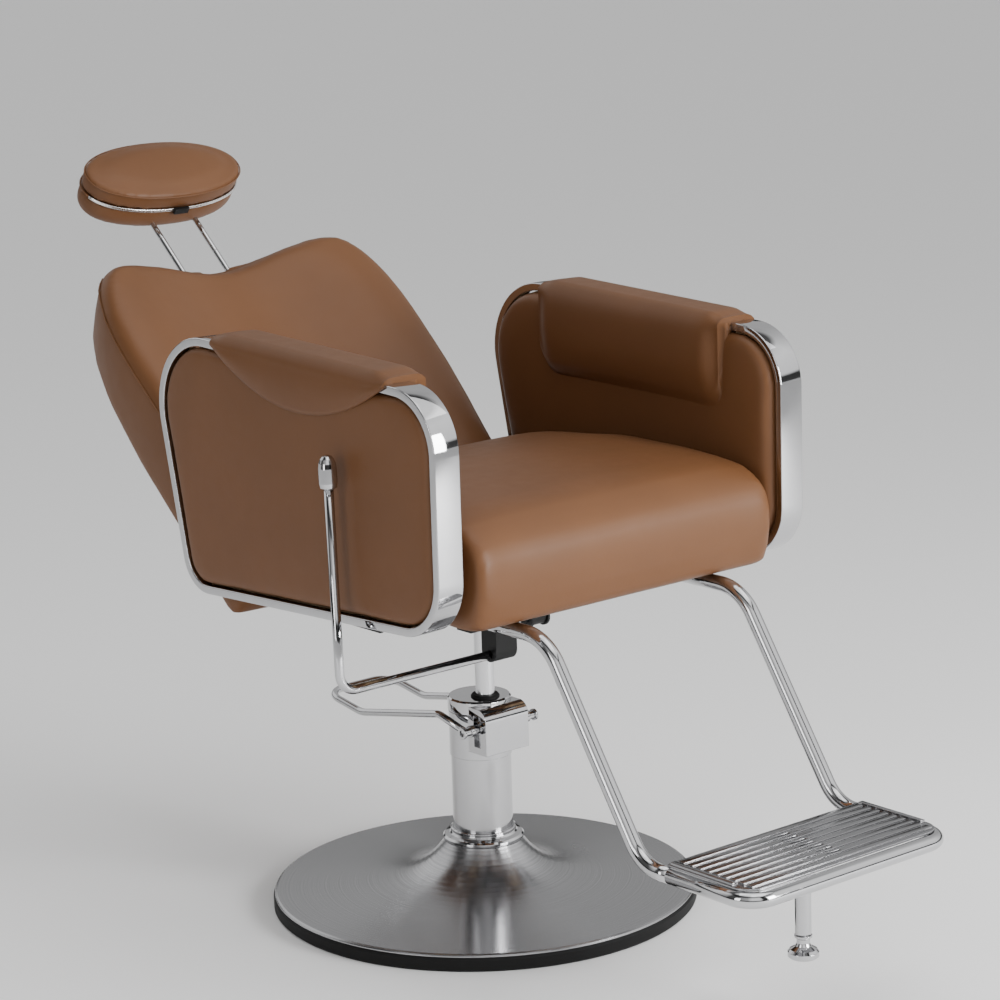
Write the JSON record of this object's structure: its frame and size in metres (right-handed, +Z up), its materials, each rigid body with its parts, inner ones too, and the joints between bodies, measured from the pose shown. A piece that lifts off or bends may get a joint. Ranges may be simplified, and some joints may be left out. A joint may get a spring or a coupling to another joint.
{
  "type": "hydraulic barber chair",
  "caption": "Hydraulic barber chair with a round pump base, looped chrome arms, a reclining back, a sliding headrest and a ribbed footrest.",
  "frame": {"origin": "on the floor at the centre of the round base, on the column's axis", "axes": "+Z up along the column; the sitter faces -Y; +X is the sitter's left. Stored with the back reclined about 49 degrees from upright and the seat turned to face -Y."},
  "size_m": [0.713, 1.5916, 1.0594],
  "materials": {
    "polished_chrome": "polished",
    "ram_steel": "ground",
    "black_rubber": "matt",
    "cast_iron": "rough",
    "black_steel": "satin",
    "black_plastic": "matt",
    "plywood": "raw",
    "brown_leather": "smooth, semi-matt"
  },
  "bodies": {
    "base": {"base_cover": "polished_chrome", "base_plate": "cast_iron", "base_ring": "black_rubber", "base_collar": "polished_chrome", "column_sleeve": "polished_chrome", "column_flange": "cast_iron", "pump_cylinder": "ram_steel", "pump_cap": "polished_chrome", "ram_seal": "black_rubber"},
    "ram": {"ram": "ram_steel", "ram_piston": "ram_steel"},
    "seat": {"swivel_socket": "black_steel", "seat_plate": "black_steel", "plate_bolts": "ram_steel", "seat_frame": "black_steel", "seat_board": "plywood", "seat_cushion": "brown_leather", "lever_bracket": "black_plastic", "gas_bracket": "black_steel", "hinge_brackets": "black_steel", "hinge_pins": "polished_chrome", "arm_frame_left": "polished_chrome", "arm_frame_right": "polished_chrome", "arm_outer_left": "brown_leather", "arm_outer_right": "brown_leather", "arm_core_left": "plywood", "arm_core_right": "plywood", "arm_inner_left": "brown_leather", "arm_inner_right": "brown_leather", "arm_pad_left": "brown_leather", "arm_pad_right": "brown_leather", "arm_bracket_left": "black_steel", "arm_bracket_right": "black_steel", "footrest_tube_left": "polished_chrome", "footrest_tube_right": "polished_chrome", "footrest_loop": "polished_chrome", "footrest_plate": "polished_chrome", "footrest_clamps": "black_steel", "foot_pole": "polished_chrome"},
    "foot": {"foot_bell": "polished_chrome"},
    "back": {"back_cushion": "brown_leather", "back_shell": "brown_leather", "back_board": "plywood", "back_frame": "black_steel", "back_brackets": "black_steel", "rod_bezels": "black_plastic"},
    "headrest_post": {"headrest_rods": "polished_chrome", "headrest_crossbar": "ram_steel"},
    "headrest": {"headrest_front": "brown_leather", "headrest_rear": "brown_leather", "headrest_piping": "polished_chrome", "headrest_clip": "black_plastic"},
    "gas_cylinder": {"gas_cylinder": "black_steel"},
    "gas_rod": {"gas_rod": "ram_steel"},
    "lever": {"lever_rod": "polished_chrome", "lever_knob": "polished_chrome"},
    "pedal": {"pedal_loop": "polished_chrome", "pedal_pin": "polished_chrome"}
  },
  "joints": [
    {"name": "lift", "type": "slide", "parent": "base", "child": "ram", "axis": [0, 0, 1], "range_m": [-0.07, 0.06]},
    {"name": "swivel", "type": "hinge", "parent": "ram", "child": "seat", "pos_m": [0, -0.014, 0.45], "axis": [0, 0, 1], "continuous": true},
    {"name": "recline", "type": "hinge", "parent": "seat", "child": "back", "pos_m": [0, 0.24, 0.582], "axis": [1, 0, 0], "range_deg": [-8, 36]},
    {"name": "gas_tilt", "type": "hinge", "parent": "seat", "child": "gas_cylinder", "pos_m": [0.06, -0.06, 0.425], "axis": [1, 0, 0], "range_deg": [-5, 5]},
    {"name": "gas_stroke", "type": "slide", "parent": "gas_cylinder", "child": "gas_rod", "axis": [0, 0.9462, 0.3235], "range_m": [-0.02, 0.045]},
    {"name": "headrest_slide", "type": "slide", "parent": "back", "child": "headrest_post", "axis": [0, 0.7513, 0.66], "range_m": [-0.09, 0.05]},
    {"name": "headrest_tilt", "type": "hinge", "parent": "headrest_post", "child": "headrest", "pos_m": [0, 0.76264, 0.97193], "axis": [1, 0, 0], "range_deg": [-15, 15]},
    {"name": "recline_lever", "type": "hinge", "parent": "seat", "child": "lever", "pos_m": [-0.08, -0.15, 0.418], "axis": [-1, 0, 0], "range_deg": [0, 16], "stiffness_Nm_per_rad": 12, "springref_deg": -8.59},
    {"name": "pump_pedal", "type": "hinge", "parent": "base", "child": "pedal", "pos_m": [0, -0.042, 0.273], "axis": [-1, 0, 0], "range_deg": [0, 13], "stiffness_Nm_per_rad": 20, "springref_deg": -8.59},
    {"name": "foot_adjust", "type": "slide", "parent": "seat", "child": "foot", "axis": [0, 0, -1], "range_m": [0, 0.012]}
  ],
  "couplings": [
    {"joint": "gas_tilt", "follows": "recline", "ratio": -0.03},
    {"joint": "gas_stroke", "follows": "recline", "m_per_rad": 0.0573}
  ]
}
